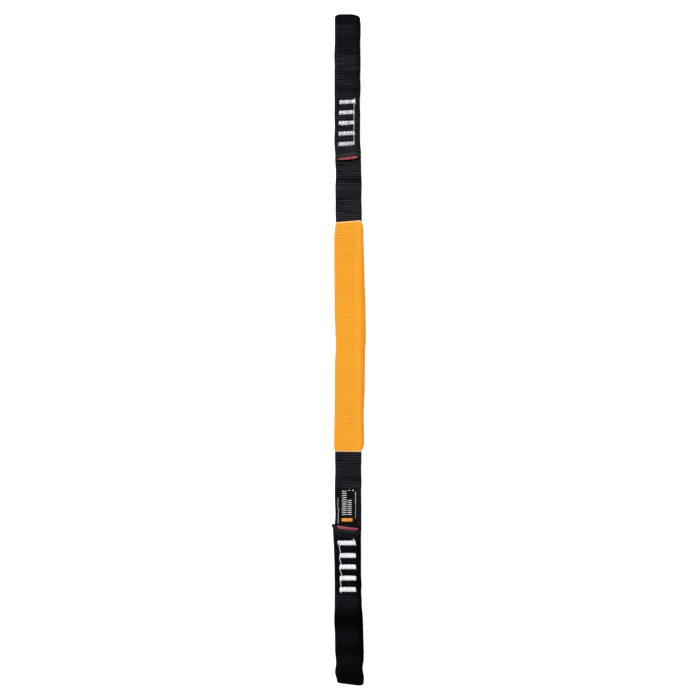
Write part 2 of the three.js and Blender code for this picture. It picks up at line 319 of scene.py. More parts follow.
def rings_to_faces(rows, columns, start=0):
    """Quads between successive closed rings of points."""
    r, c = np.meshgrid(np.arange(rows - 1), np.arange(columns), indexing="ij")
    a = start + r * columns + c
    b = start + r * columns + (c + 1) % columns
    return np.stack([a, b, b + columns, a + columns], -1).reshape(-1, 4).tolist()


def join_rings(first, second, columns):
    """Quads between two rings, given by the index of each one's first point."""
    c = np.arange(columns)
    n = (c + 1) % columns
    return np.stack([first + c, first + n, second + n, second + c], -1).tolist()


def listed(*grids):
    """The points, or weave places, of several grids in one list."""
    return np.concatenate([grid.reshape(-1, grid.shape[-1]) for grid in grids])


def capped_rings(grid):
    """Points and faces of a solid made of successive rings, with a flat cap on its first and its last."""
    rows, columns = grid.shape[:2]
    end = rows * columns
    caps = [list(range(columns)), list(range(end - columns, end))]
    return listed(grid), rings_to_faces(rows, columns) + caps


def hollow_faces(rows_out, rows_in, columns):
    """Faces of a tube whose points are its outer rings, its inner rings and then one ring on each rim."""
    inner_start = rows_out * columns
    rim_start = inner_start + rows_in * columns
    faces = rings_to_faces(rows_out, columns) + rings_to_faces(rows_in, columns, inner_start)
    for k, (outer, inner) in enumerate([(0, 0), (rows_out - 1, rows_in - 1)]):
        rim = rim_start + k * columns
        faces += join_rings(outer * columns, rim, columns)
        faces += join_rings(rim, inner_start + inner * columns, columns)
    return faces


class Parts:
    """Points and faces gathered from several shells into one piece."""

    def __init__(self):
        self.points, self.faces, self.tones, self.count = [], [], [], 0

    def add(self, points, faces, tone=0.0):
        self.points.append(points)
        self.faces += [[i + self.count for i in face] for face in faces]
        self.tones += [tone] * len(points)
        self.count += len(points)

    def piece(self, name, material):
        points = np.concatenate(self.points)
        return make_piece(name, points, self.faces, material, points[:, :2], tone=self.tones)


def ply_outline():
    """Unit outline of a flattened ply, clockwise from its top left.

    Each column gives the across and height signs of its flat part, the cosine and sine of its rounded part,
    and how far it lies to the outer face (0 on the face inside the eye, 1 on the outer face)."""
    flat = np.linspace(-1, 1, FACE_COLUMNS, endpoint=False)
    turn = np.linspace(0, 1, SIDE_COLUMNS, endpoint=False)
    rows = [(t, 0.0, 1.0, 0.0) for t in flat]
    rows += [(1.0, math.sin(math.pi * t), math.cos(math.pi * t), t) for t in turn]
    rows += [(-t, 0.0, -1.0, 1.0) for t in flat]
    rows += [(-1.0, -math.sin(math.pi * t), -math.cos(math.pi * t), 1 - t) for t in turn]
    return np.array(rows).T


ACROSS, BULGE, HEIGHT, OUTER = ply_outline()
COLUMNS = len(ACROSS)


def rib_dip(phase):
    """How far a place in a rib lies below its crest, from 0 to 1."""
    return 1 - np.abs(np.sin(math.pi * phase)) ** RIB_ROUNDNESS


def tack_dent(leg, y, x):
    """The plies are drawn in under each bar tack."""
    depth = np.zeros_like(y)
    for tack, style in zip(leg.tacks, TACK_STYLE[leg.name]["each"]):
        along = bump_at(y, tack["y"], tack["long"] / 2 - 0.6, 1.6)
        across = bump_at(x, tack["x"] + style[0], tack["wide"] / 2 - 0.4, 1.4)
        depth = np.maximum(depth, along * across)
    return 0.34 * depth


def pucker(leg, s, a):
    """Shallow diagonal ripples in a face, where sewing and handling have worked the webbing."""
    waves = np.sin(s * 0.31 + a * 0.12 + leg.sign) + np.sin(s * 0.17 - a * 0.21 + 2.0)
    waves = waves + np.sin(s * 0.53 + a * 0.3)
    return 0.05 * (waves + 3) / 2


def tip_shape(leg, y, across):
    """How far a place near the turned edge of an eye moves outwards."""
    tip = TIP[leg.name]
    near = ease((abs(y - leg.fold) - (leg.reach - TIP_SHAPED)) / TIP_SHAPED)
    left, right = np.clip(-across, 0, 1), np.clip(across, 0, 1)
    half = MAIN_WIDE[leg.name](y) / 2
    fall = tip["left"] * left ** tip["powers"][0] + tip["right"] * right ** tip["powers"][1]
    return near * (tip["slant"] * across * half + tip["lift"] - fall)


def cut_shape(leg, a, unit):
    """How far each place across a cut end falls short of its middle."""
    (left, left_power), (right, right_power) = CORNER_BACK[leg.name]
    corners_fall = left * np.clip(-unit, 0, 1) ** left_power + right * np.clip(unit, 0, 1) ** right_power
    return leg.sign * CUT_SLANT[leg.name] * a + corners_fall


def knob(past_end, unit):
    """How far the melted left corner of the lower tail stands out, by the distance past its cut end."""
    along = ease((past_end + 3.6) / 1.4) * (1 - 0.5 * ease((past_end + 0.8) / 0.8))
    return 1.1 * ease((-unit - 0.86) / 0.14) * along


def lip_lens(leg):
    """How far the top lip stands back at each column of a ply, as a share of LIP_BACK."""
    flat_share = 1 - 2 * SELVEDGE / NOMINAL_WIDE
    return LENS[leg.name](np.clip(flat_share * ACROSS + (1 - flat_share) * BULGE, -1, 1))


def ply_points(line, s, width_less, thick, ribs):
    """Rings round a ply at distances s along its line: their points, weave places and lightness (with
    painted light and shade).
    """
    leg = line.leg
    s = s[:, None] + 0 * ACROSS
    past_end = s - line.length
    lip_back = LIP_BACK[leg.name] - (0 if ribs else LIP_BEVEL)
    near_cut = ease((past_end + LIP_SHAPED) / LIP_SHAPED)
    moved = s - lip_back * OUTER * np.abs(HEIGHT) * lip_lens(leg) * near_cut
    y, _, tail, _, _ = line.at(moved)
    width = ply_width(leg, y, tail) - width_less + WIDTH_WANDER[leg.name](moved)
    a = (width / 2 - SELVEDGE) * ACROSS + SELVEDGE * BULGE
    moved = moved - cut_shape(leg, a, 2 * a / width) * ease((past_end + CUT_SHAPED) / CUT_SHAPED)
    y, z, tail, ny, nz = line.at(moved)
    x = ply_x(leg, y, tail) + X_WANDER[leg.name](moved)
    h = thick / 2 * HEIGHT * (1 - 0.1 * np.abs(ACROSS) ** 4)
    valley = np.zeros_like(s)
    if ribs:
        phase = s / (line.length / line.ribs)
        valley = rib_dip(phase) * (1 - OUTER) + rib_dip(phase + 0.5) * OUTER
        dip = RIB_DEPTH * valley + pucker(leg, moved, a) * (0.4 + 0.6 * tail)
        dip = dip + tack_dent(leg, y, x + a) * OUTER
        h = h - dip * HEIGHT
        a = a - 0.45 * dip * BULGE
    unit = 2 * a / width
    y = y + leg.sign * tip_shape(leg, y, unit)
    if leg.name == "lower":
        a = a - knob(past_end, unit)
    points = np.stack([x + a, y + h * ny, z + h * nz], -1)
    return points, np.stack([a, s * line.ribs * RIB_PITCH / line.length], -1), painted_light_and_shade(y, unit, valley)


HIDDEN_LIGHT = 0.05  # how light the webbing is inside and on its rims
# How light it is along the sling (painted light and shade), how clearly its ribs show in the painted rib
# shade, and how much darker its right side is than its left (painted shade, as if lit from the left)
TONE = curve((-335, 0.03), (-324, 0.05), (-312, 0.14), (-300, 0.07), (-286, 0.15), (-270, 0.01),
             (-262, 0.12), (-250, 0.3), (-242, 0.1), (-190, 0.12), (-180, 0.42), (-172, 0.5), (-140, 0.62),
             (-132, 0.6), (-123, 0.45), (-112, 0.68), (-101, 0.66), (127, 0.78), (140, 0.7), (147, 0.66),
             (152, 0.54), (160, 0.64), (171, 0.48), (180, 0.62), (199, 0.6), (215, 0.43), (245, 0.39),
             (262, 0.42), (289, 0.44), (305, 0.28), (320, 0.36), (330, 0.14), (335, 0.05))
CLARITY = curve((-335, 1.0), (-250, 1.3), (-240, 1.7), (-185, 1.7), (-170, 1.2), (-140, 0.8), (-126, 1.05),
                (-112, 0.95), (-100, 1.0), (127, 0.95), (140, 0.9), (152, 1.2), (160, 0.95), (168, 1.15),
                (178, 1.2), (186, 1.0), (200, 1.5), (250, 1.5), (262, 0.7), (272, 1.0), (282, 1.3),
                (298, 1.3), (306, 0.7), (335, 0.6))
SHADED = curve((-335, 1.0), (-190, 1.0), (-175, 0.3), (185, 0.2), (200, 0.4), (255, 0.5), (275, 0.9),
               (335, 1.0))


def painted_light_and_shade(y, unit, valley):
    """How light the black webbing is at each point: painted light on its crests, painted shade in its
    valleys.
    """
    clarity = CLARITY(y)
    crest = clarity * 1.35 * (1 - valley) ** 4.5 + (1 - clarity) * 0.5
    right, left = ease((unit - 0.5) / 0.45), ease((-unit - 0.6) / 0.35)
    return TONE(y) * np.maximum(crest, 0) * (1 + SHADED(y) * (0.35 * left - 0.65 * right))


def make_webbing(leg, material):
    """The tubular webbing from the seam to the cut end, with its hollow and its rounded, melted rims."""
    line = Line(leg)
    outer, outer_uv, light = ply_points(line, line.fine_rows(), 0.0, THICK, True)
    inner, inner_uv, _ = ply_points(line, line.coarse_rows(), NOMINAL_WIDE - HOLLOW[0], HOLLOW[1], False)
    ends = [0, -1]
    past = outer[ends] - outer[[1, -2]]
    past = past / np.linalg.norm(past, axis=-1, keepdims=True)
    rims = (outer[ends] + inner[ends]) / 2 + past * RIM_BULGE
    points = listed(outer, inner, rims)
    faces = hollow_faces(len(outer), len(inner), COLUMNS)
    uv = listed(outer_uv, inner_uv, outer_uv[ends])
    # The light attribute carries the painted light and shade of the outer face
    light = np.append(light, np.full(len(points) - light.size, HIDDEN_LIGHT))
    melted = melted_lip(leg, len(outer), len(points))
    piece = make_piece(f"webbing_{leg.name}", points, faces, material, uv, light=light, melted=melted)
    bend(piece)
    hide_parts("webbing_run", f"webbing_{leg.name}_eye")


def melted_lip(leg, rows, count):
    """How pale each point is: a melted line near the top wall's cut edge with painted highlight, strongest
    in the middle.
    """
    lip = LIP_MELT_AND_HIGHLIGHT[leg.name] * (0.25 + 0.75 * (1 - ease((np.abs(ACROSS) - 0.45) / 0.4)))
    first, last = rows - 6, rows - 3
    melted = np.zeros(count)
    melted[first * COLUMNS:last * COLUMNS] = np.tile(lip, last - first)
    return melted


def bend(piece):
    """The piece's placement is baked into its mesh."""
    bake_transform(piece)


def make_core(leg, material):
    """The red ribbon inside the webbing. It swells a little where it is cut with the tail."""
    line = Line(leg)
    fine_from = line.length - 12
    s = np.concatenate([np.arange(0, fine_from, 2.5), np.arange(fine_from, line.length, 0.6)])[:, None]
    turn = 2 * math.pi * (np.arange(CORE_COLUMNS) + 0.5) / CORE_COLUMNS
    across = np.sign(np.cos(turn)) * np.abs(np.cos(turn)) ** 0.35
    height = np.sign(np.sin(turn)) * np.abs(np.sin(turn)) ** 0.8
    past_end = s + 0 * across - line.length
    swell = ease((past_end + 3.5) / 3.0) * (1 - np.abs(across) ** 2.5)
    spread = 1 + CORE_SPREAD[leg.name] * ease((past_end + 9) / 6)
    a = CORE_SIZE[0] / 2 * across * spread
    slanted = cut_shape(leg, a, 2 * a / NOMINAL_WIDE) * ease((past_end + CUT_SHAPED) / CUT_SHAPED)
    y, z, tail, ny, nz = line.at(s - CORE_SHORT - slanted)
    h = (CORE_SIZE[2] / 2 + 0.18 * swell) * height
    x = ply_x(leg, y, tail)
    y = y + leg.sign * tip_shape(leg, y, 2 * a / ply_width(leg, y, tail))
    points, faces = capped_rings(np.stack([x + a, y + h * ny, z + h * nz], -1))
    # Pale fibres at the cut end, with painted highlight on the core's left side
    frayed = (1 - ease(-past_end / 1.6)) * ease((0.3 - across) / 0.6)
    piece = make_piece(f"core_{leg.name}", points, faces, material, listed(np.stack([a, s + 0 * a], -1)),
                       frayed=frayed.ravel())
    bend(piece)
    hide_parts("core_run", f"core_{leg.name}_eye")


# Sleeve

SLEEVE_LEFT = curve((-101.5, -15.9), (-90, -15.8), (-60, -15.3), (-20, -15.1), (3, -14.2), (22, -14.6),
                    (36, -15.4), (112, -15.7), (121, -15.0), (127.5, -14.6))
SLEEVE_RIGHT = curve((-101.5, 14.4), (-92, 14.7), (-66, 14.3), (-36, 15.3), (-6, 15.6), (14, 16.5),
                     (44, 16.1), (72, 15.1), (112, 14.1), (124, 13.7), (127.5, 13.0))
MOUTH_SLANT = {1: 0.08, -1: -0.012}  # the two mouths aren't cut square
# The cut corners of each mouth: width of the left one, of the right one, and how far each falls back
MOUTH_CORNERS = {1: (1.2, 2.3, 2.0, 3.2), -1: (1.2, 2.9, 2.4, 5.0)}
MOUTH_BULGE = 0.35  # how far a mouth's rim swells past its walls
MELT_AND_HIGHLIGHT_ROWS = 3
SLEEVE_WALL = 0.6  # half as thick at the mouths
SLEEVE_RIB_DEPTH = 0.28
SLEEVE_EDGE_LIP = 2.7  # height of the empty right edge, where both walls lie on each other
SLEEVE_TOP_COLUMNS, SLEEVE_END_COLUMNS = 30, 6
SLEEVE_LONG = SLEEVE_HIGH[1] - SLEEVE_LOW[1]
SLEEVE_RIBS = int(round(SLEEVE_LONG / RIB_PITCH))
SLEEVE_RIB = SLEEVE_LONG / SLEEVE_RIBS
SLEEVE_WANDER = wander(11, 0.8, 44)


def sleeve_outline():
    """Places round the sleeve: the share across (left 0, right 1) and of its height (surface 0, top 1)."""
    flat = np.linspace(0.05, 0.96, SLEEVE_TOP_COLUMNS)
    turn = math.pi * np.linspace(0, 1, SLEEVE_END_COLUMNS + 2)[1:-1]
    top = [(t, 1.0) for t in flat]
    right = [(0.96 + 0.04 * math.sin(t), 0.5 + 0.5 * math.cos(t)) for t in turn]
    bottom = [(1.01 - t, 0.0) for t in flat]
    left = [(0.05 - 0.05 * math.sin(t), 0.5 - 0.5 * math.cos(t)) for t in turn]
    return np.array(top + right + bottom + left).T


def sleeve_top(x, y, right, closing, crease):
    """Height of the top wall: full over the webbing, low over the empty edge, and creased along it."""
    over_web = 1 - ease((x - (RUN_HIGH[0] - 0.2)) / np.maximum(right - RUN_HIGH[0], 1.5))
    full = SLEEVE_HIGH[2] - 0.25 * closing - 0.12 * (1 + SLEEVE_WANDER(y + 3 * x))
    top = SLEEVE_EDGE_LIP + (full - SLEEVE_EDGE_LIP) * over_web
    return top - crease * np.exp(-((x - 3.6 - 0.012 * y) / 0.9) ** 2)


def mouth_shape(x, y, left, right):
    """Y after each mouth is given its slant and its cut-back corners."""
    for end, mouth in ((1, SLEEVE_HIGH[1]), (-1, SLEEVE_LOW[1])):
        away = np.abs(mouth - y)
        y = y + (MOUTH_SLANT[end] * x + 0.5 * end) * (1 - ease(away / 22))
        left_wide, right_wide, left_fall, right_fall = MOUTH_CORNERS[end]
        back = left_fall * (1 - ease((x - left) / left_wide))
        back = back + right_fall * (1 - ease((right - x) / right_wide))
        y = y - end * back * (1 - ease(away / 12))
    return y


def sleeve_rings(y, inset, ribs):
    """Rings round the sleeve at the given Y, set in by a wall's thickness."""
    share, level = sleeve_outline()
    y = y[:, None] + 0 * share
    phase = (y - SLEEVE_LOW[1]) / SLEEVE_RIB
    from_mouth = np.minimum(SLEEVE_HIGH[1] - y, y - SLEEVE_LOW[1])
    left, right = SLEEVE_LEFT(y), SLEEVE_RIGHT(y)
    x = left + (right - left) * share
    z = sleeve_top(x, y, right, 1 - ease(from_mouth / 2.8), 0.14 * ribs) * level
    y = mouth_shape(x, y, left, right)
    points = np.stack([x, y, z], -1)
    around = np.roll(points, -1, 1) - np.roll(points, 1, 1)
    normal = np.stack([-around[..., 2], 0 * x, around[..., 0]], -1)
    normal = normal / np.linalg.norm(normal, axis=-1, keepdims=True)
    depth = inset * (0.5 + 0.5 * ease(from_mouth / 20)) + 0 * x
    valley = np.zeros_like(x)
    if ribs:
        valley = rib_dip(phase) * level + rib_dip(phase + 0.5) * (1 - level)
        # The ribs, and the painted shade in their valleys, are fainter towards the right and the lower end
        valley = valley * (1 - 0.6 * ease((x - 4) / 5)) * (0.85 + 0.3 * ease((y - 20) / 90))
        depth = depth + SLEEVE_RIB_DEPTH * valley
    return points - normal * depth[..., None], np.stack([x, phase * RIB_PITCH], -1), valley


def make_sleeve(material):
    """The flattened orange tube over the run, with pale rims: melted, with painted highlight."""
    fine = np.append((np.arange(SLEEVE_RIBS)[:, None] + RIB_ROWS).ravel(), SLEEVE_RIBS) * SLEEVE_RIB
    coarse = np.linspace(0, SLEEVE_LONG, SLEEVE_RIBS + 1)
    outer, outer_uv, valley = sleeve_rings(SLEEVE_LOW[1] + fine, 0.0, True)
    inner, inner_uv, _ = sleeve_rings(SLEEVE_LOW[1] + coarse, SLEEVE_WALL, False)
    columns = outer.shape[1]
    ends = [0, -1]
    rims = (outer[ends] + inner[ends]) / 2
    rims[..., 1] += np.array([-MOUTH_BULGE, MOUTH_BULGE])[:, None]
    points = listed(outer, inner, rims)
    faces = hollow_faces(len(outer), len(inner), columns)
    uv = listed(outer_uv, inner_uv, outer_uv[ends])
    # Pale rims at the mouths: melted, with painted highlight
    melted = np.zeros(len(points))
    near_rim = MELT_AND_HIGHLIGHT_ROWS * columns
    melted[:near_rim] = 0.8
    melted[valley.size - near_rim:valley.size] = 0.8
    melted[-2 * columns:] = 1.0
    valley = np.append(valley, np.zeros(len(points) - valley.size))
    piece = make_piece("sleeve_cover", points, faces, material, uv, melted=melted, valley=valley)
    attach(piece, "sleeve")
    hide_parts("sleeve")


# Thread

def tube(path, radius, sides=6, flat=1.0):
    """A closed thread along a path of points. flat below 1 presses it down."""
    along = np.gradient(path, axis=0)
    along = along / np.linalg.norm(along, axis=1, keepdims=True)
    side = np.cross(along, UP)
    side = side / np.linalg.norm(side, axis=1, keepdims=True)
    over = np.cross(side, along)
    turn = 2 * math.pi * np.arange(sides) / sides
    ring = np.cos(turn)[None, :, None] * side[:, None] + flat * np.sin(turn)[None, :, None] * over[:, None]
    return capped_rings(path[:, None] + radius * ring)


def tack_surface(leg, y):
    """Height of the outer face of the upper ply at Y."""
    return leg.upper(abs(y - leg.fold)) + THICK / 2


class Tack:
    """A bar tack: close zigzag strokes over a bed of straight threads, and a flatter bar underneath."""

    def __init__(self, leg, index):
        self.leg, self.index, self.solid = leg, index, leg.tacks[index]
        self.style = TACK_STYLE[leg.name]
        shift, self.tilt, wider = self.style["each"][index]
        self.middle_x = self.solid["x"] + shift
        self.wide = self.style["wide"] + wider - 2 * THREAD
        self.long = self.style["long"] - 2 * THREAD
        self.over = tack_surface(leg, self.solid["y"]) - 0.1
        self.under = self.solid["low"] + 0.24
        self.parts = Parts()

    def thread(self, x, y, z, radius, tone, flat=1.0):
        """A thread through places x to the right along the bar, y across it, and at the height z."""
        path = np.stack([self.middle_x + x, self.solid["y"] + y + self.tilt * x, z + 0 * x], -1)
        self.parts.add(*tube(path, radius, flat=flat), tone=tone)

    def bed(self):
        x = np.linspace(-self.wide / 2, self.wide / 2, 16)
        z = self.over + 0.02 - 0.5 * np.abs(x / (self.wide / 2)) ** 14
        for k in range(BED_THREADS):
            y = self.long * ((k + 0.5) / BED_THREADS - 0.5)
            self.thread(x, y, z, THREAD * 0.9, self.style["tone"] - DULLER)

    def strokes(self, rng):
        """The zigzag, stroke by stroke, each with its own part on the underside."""
        t = np.linspace(-1, 1, 9)
        for k in range(STROKES):
            share = k / (STROKES - 1) - 0.5
            x = self.wide * share + self.wide / STROKES * 0.5 * (-1) ** k * t
            low, high = self.stroke_reach(k, share, rng)
            y = (low + high) / 2 * t + (high - low) / 2
            z = self.over + THREAD * 1.25 - 0.62 * np.abs(t) ** 5 + rng.uniform(-0.05, 0.05)
            radius = THREAD * rng.uniform(0.8, 1.08)
            streak = self.style["streaks"] * (rng.uniform(-0.6, 0.8) - 0.25 * (k % 2))
            self.thread(x, y, z, radius, self.style["tone"] + streak)
            z = self.under + 0.2 * np.abs(t) ** 4
            self.thread(x, self.long / 2 * t, z, THREAD * 0.85, self.style["tone"], flat=0.6)

    def stroke_reach(self, k, share, rng):
        """How far a stroke reaches each way across the bar: ragged on one side, arched on the other."""
        nub_low, nub_high = tack_nub(self.leg, self.index, k)
        ragged = self.style["ragged"] * (rng.uniform(0.2, 1) * (k % 2) - 0.25) * (1 if share < 0.1 else 0.4)
        low = self.long / 2 + ragged + rng.uniform(-0.1, 0.1) + nub_low
        arch = self.style["arch"] * (1 - (2 * share) ** 2)
        high = self.long / 2 + arch + rng.uniform(-0.1, 0.1) + nub_high
        return low, high

    def underside(self):
        x = np.linspace(-self.wide / 2, self.wide / 2, 12)
        for k in range(2):
            y = self.long * (k - 0.5) * 0.4
            self.thread(x, y, self.under + 0.1, THREAD * 0.7, self.style["tone"], flat=0.7)


def make_tack(leg, index, material):
    tack = Tack(leg, index)
    tack.bed()
    tack.strokes(np.random.default_rng(40 + index + 10 * (leg.sign > 0)))
    tack.underside()
    piece = tack.parts.piece(f"{leg.name}_stitching_{index + 1}", material)
    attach(piece, f"{leg.name}_leg")
    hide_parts(tack.solid["node"])


def tack_nub(leg, index, stroke):
    """How much further a stroke at a corner of some tacks runs, as (towards -Y, towards +Y)."""
    last = STROKES - 1
    if leg.name == "upper" and index == TACKS - 1 and stroke > last - 3:
        return 0.5, 0.9
    if leg.name == "lower" and index == 0 and stroke == last - 2:
        return 0.0, 1.9
    if leg.name == "lower" and index == 0 and stroke < 3:
        return -1.6, 0.3
    if leg.name == "lower" and index == TACKS - 1 and stroke in (1, 2):
        return 1.2, 0.0
    return 0.0, 0.0


# The jump thread, from the end of each tack that it leaves: (at this tack, at the next) across
JUMP = {
    "upper": {"side": 1, "across": [(-0.4, -0.5), (-0.6, -0.6), (-0.5, -0.6), (-0.6, -0.6)]},
    "lower": {"side": -1, "across": [(0.8, 2.0), (0.1, 1.5), (0.6, 2.5), (0.7, 1.2)]},
}


def make_jump_thread(leg, material):
    """The thread that wasn't cut between one bar tack and the next."""
    jump, style = JUMP[leg.name], TACK_STYLE[leg.name]
    parts = Parts()
    t = np.linspace(0, 1, 14)
    for index, (here, there) in enumerate(jump["across"]):
        near, far = leg.tacks[index], leg.tacks[index + 1]
        y = near["y"] + (far["y"] - near["y"]) * t
        end_x = near["x"] + style["each"][index][0] + jump["side"] * style["wide"] / 2
        x = end_x + here + (there - here) * ease((t - 0.2) / 0.6)
        z = tack_surface(leg, y) + 0.15 + 0.5 * np.abs(2 * t - 1) ** 6
        parts.add(*tube(np.stack([x, y, z], -1), 0.3, sides=8), tone=style["tone"] - DULLER)
    piece = parts.piece(f"{leg.name}_jump_stitch", material)
    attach(piece, f"{leg.name}_leg")
    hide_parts(f"{leg.name}_jump_thread")


# Label

LABEL_X = (FLAP_LOW[0], FLAP_HIGH[0])
LABEL_FREE = FLAP_HIGH[1]
LABEL_ROOT = ROOT_LOW[1]
LABEL_LIFTS_FROM = -170.0  # beyond this place, towards its free end, the label lifts off a little
LABEL_RESTS = 0.45  # from the webbing's face to the middle of the folded ribbon
RIBBON = 0.2
LAYER_OFFSET = 0.14  # from the middle of the fold to the middle of each layer


def label_middle(x, y):
    """Height of the middle of the folded ribbon: it lies on the webbing and lifts a little when free."""
    free = ease((y - LABEL_LIFTS_FROM) / (LABEL_FREE - LABEL_LIFTS_FROM))
    across = (x - LABEL_X[0]) / (LABEL_X[1] - LABEL_X[0]) * 2 - 1
    lift = free * (0.12 + 0.16 * across ** 4 + 0.1 * np.sin(y * 0.35 + 0.8 * across))
    return LOWER.lower(np.abs(y - LOWER.fold)) + THICK / 2 + LABEL_RESTS + lift


def make_label(material):
    """A satin ribbon folded in half, with the fold at its free end and both ends under the tail."""
    rows = np.arange(LABEL_ROOT, LABEL_FREE, 0.8)
    turn = np.linspace(-math.pi / 2, math.pi / 2, 7)[1:-1]
    y = np.concatenate([rows, LABEL_FREE - 0.15 + LAYER_OFFSET * np.cos(turn), rows[::-1]])
    level = np.concatenate([0 * rows - 1, np.sin(turn), 0 * rows + 1])
    centre = np.stack([y, LAYER_OFFSET * level], -1)
    along = np.gradient(centre, axis=0)
    along = along / np.linalg.norm(along, axis=1, keepdims=True)
    normal = np.stack([-along[:, 1], along[:, 0]], -1)
    xs = np.linspace(*LABEL_X, 14)
    ring_x, side = np.array([(x, 0.5) for x in xs] + [(x, -0.5) for x in xs[::-1]]).T
    y = centre[:, :1] + RIBBON * side * normal[:, :1]
    above = centre[:, 1:] + RIBBON * side * normal[:, 1:]
    x = ring_x + 0 * y
    points, faces = capped_rings(np.stack([x, y, label_middle(x, y) + above], -1))
    piece = make_piece("label_ribbon", points, faces, material, points[:, :2])
    bend_label(piece)
    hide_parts("label_root", "label_flap")


def bend_label(piece):
    """The piece's placement is baked into its mesh."""
    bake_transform(piece)


INK = 0.035  # how far the ink stands proud of the ribbon
INK_SUNK = 0.03  # and how far it goes into it


def ink_patch(x0, x1, y0, y1, lean=0.0, corner=0.25):
    """A closed patch of ink on the label, narrower at its ends; lean shifts it across along its length."""
    ys = np.linspace(y0, y1, max(int(abs(y1 - y0) / 0.8), 2) + 1)
    inset = corner * (1 - ease(np.minimum(ys - y0, y1 - ys) / max(corner, 0.01)))
    shift = lean * (ys - y0) / (y1 - y0)
    left, right = x0 + inset + shift, x1 - inset + shift
    share = np.linspace(0, 1, 5)
    x = left[:, None] + (right - left)[:, None] * share
    y = ys[:, None] + 0 * x
    top = label_middle(x, y) + LAYER_OFFSET + RIBBON / 2
    upper = np.stack([x, y, top + INK], -1)
    lower = np.stack([x, y, top - INK_SUNK], -1)
    return capped_rings(np.concatenate([upper, lower[:, ::-1]], 1))


# Plain print, as (left, right, first and last distance from the free end): columns of dashes, a bar, and
# lines that also have a lean
DASH_COLUMNS = [(-7.7, -2.9, 2.0, 27.2), (-2.2, 2.2, 11.2, 27.2)]
DASH_PITCH, DASH_LONG = 1.95, 0.75
BAR = (-8.0, 3.0, 29.3, 32.7)
SIDE_LINES = [(-12.1, -11.6, 9.0, 19.0, 0.3), (-11.9, -11.2, 19.0, 34.8, 0.5), (5.5, 6.3, 2.5, 15.0, 0.1),
              (5.7, 6.1, 15.0, 30.0, 0.2), (-1.6, 0.6, 0.9, 1.7, 0.0), (2.6, 4.4, 0.8, 2.2, 0.0)]


def print_patch(left, right, first, last, *shape):
    """An ink patch placed by its first and last distance from the label's free end."""
    return ink_patch(left, right, LABEL_FREE - last, LABEL_FREE - first, *shape)


def make_label_marks(white, orange, grey):
    dashes, bar, lines = Parts(), Parts(), Parts()
    for left, right, first, last in DASH_COLUMNS:
        count = int((last - first) / DASH_PITCH)
        for k in range(count):
            start = first + (last - first) * k / count
            dashes.add(*print_patch(left, right, start, start + DASH_LONG))
    bar.add(*print_patch(*BAR))
    for left, right, first, last, lean in SIDE_LINES:
        lines.add(*print_patch(left, right, first, last, lean, 0.05))
    bend_label(dashes.piece("label_print", white))
    bend_label(bar.piece("label_bar", orange))
    bend_label(lines.piece("label_side_lines", grey))


# Materials

class Shader:
    """A material with one Principled shader, and short names for the nodes that feed it."""

    def __init__(self, name, **sockets):
        self.material = bpy.data.materials.new(name)
        self.material.use_nodes = True
        self.tree = self.material.node_tree
        self.shader = self.tree.nodes["Principled BSDF"]
        for socket, value in sockets.items():
            self.shader.inputs[socket.replace("_", " ")].default_value = value

    def node(self, kind, **inputs):
        node = self.tree.nodes.new(kind)
        for name, value in inputs.items():
            self.feed(node.inputs[name.replace("_", " ")], value)
        return node

    def feed(self, socket, value):
        if isinstance(value, bpy.types.NodeSocket):
            self.tree.links.new(value, socket)
        else:
            socket.default_value = value

    def math(self, operation, a, b=0.0, c=0.0):
        node = self.tree.nodes.new("ShaderNodeMath")
        node.operation = operation
        for socket, value in zip(node.inputs, (a, b, c)):
            self.feed(socket, value)
        return node.outputs[0]

    def mix(self, factor, a, b):
        node = self.tree.nodes.new("ShaderNodeMix")
        node.data_type = "RGBA"
        self.feed(node.inputs["Factor"], factor)
        self.feed(node.inputs[6], a)
        self.feed(node.inputs[7], b)
        return node.outputs[2]

    def attribute(self, name):
        node = self.tree.nodes.new("ShaderNodeAttribute")
        node.attribute_name = name
        return node.outputs["Fac"]

    def weave_place(self):
        """How far across and along the strap a place is."""
        node = self.tree.nodes.new("ShaderNodeUVMap")
        node.uv_map = "weave"
        parts = self.node("ShaderNodeSeparateXYZ", Vector=node.outputs["UV"])
        return parts.outputs["X"], parts.outputs["Y"]

    def noise(self, scale, detail, vector=None):
        node = self.node("ShaderNodeTexNoise", Scale=scale, Detail=detail)
        if vector is None:
            vector = self.node("ShaderNodeTexCoord").outputs["Object"]
        self.feed(node.inputs["Vector"], vector)
        return node.outputs["Fac"]

    def yarns(self, pitch, rib):
        """Rounded yarns side by side across the strap, set over by half in every other rib."""
        across, along = self.weave_place()
        row = self.math("FLOOR", self.math("DIVIDE", along, rib * MM))
        place = self.math("ADD", self.math("DIVIDE", across, pitch * MM), self.math("MULTIPLY", row, 0.5))
        wave = self.math("SINE", self.math("MULTIPLY", place, 2 * math.pi))
        return self.math("MULTIPLY_ADD", wave, 0.5, 0.5)

    def stretched(self, across_scale, along_scale):
        """The weave's own place with a scale of its own each way, for bands that run across the strap."""
        across, along = self.weave_place()
        return self.node("ShaderNodeCombineXYZ", X=self.math("MULTIPLY", across, across_scale),
                         Y=self.math("MULTIPLY", along, along_scale)).outputs["Vector"]

    def rib_place(self, across_scale):
        """A place that jumps from one rib to the next and moves slowly along each."""
        across, along = self.weave_place()
        row = self.math("FLOOR", self.math("DIVIDE", along, RIB_PITCH * MM))
        return self.node("ShaderNodeCombineXYZ", X=self.math("MULTIPLY", across, across_scale),
                         Y=self.math("MULTIPLY", row, 5.37)).outputs["Vector"]

    def bump(self, height, distance, strength):
        node = self.node("ShaderNodeBump", Height=height, Strength=strength, Distance=distance * MM)
        self.feed(self.shader.inputs["Normal"], node.outputs["Normal"])

    def between(self, value, low, high, start=0.0, end=1.0):
        node = self.node("ShaderNodeMapRange", Value=value)
        node.inputs["From Min"].default_value = start
        node.inputs["From Max"].default_value = end
        node.inputs["To Min"].default_value = low
        node.inputs["To Max"].default_value = high
        return node.outputs["Result"]


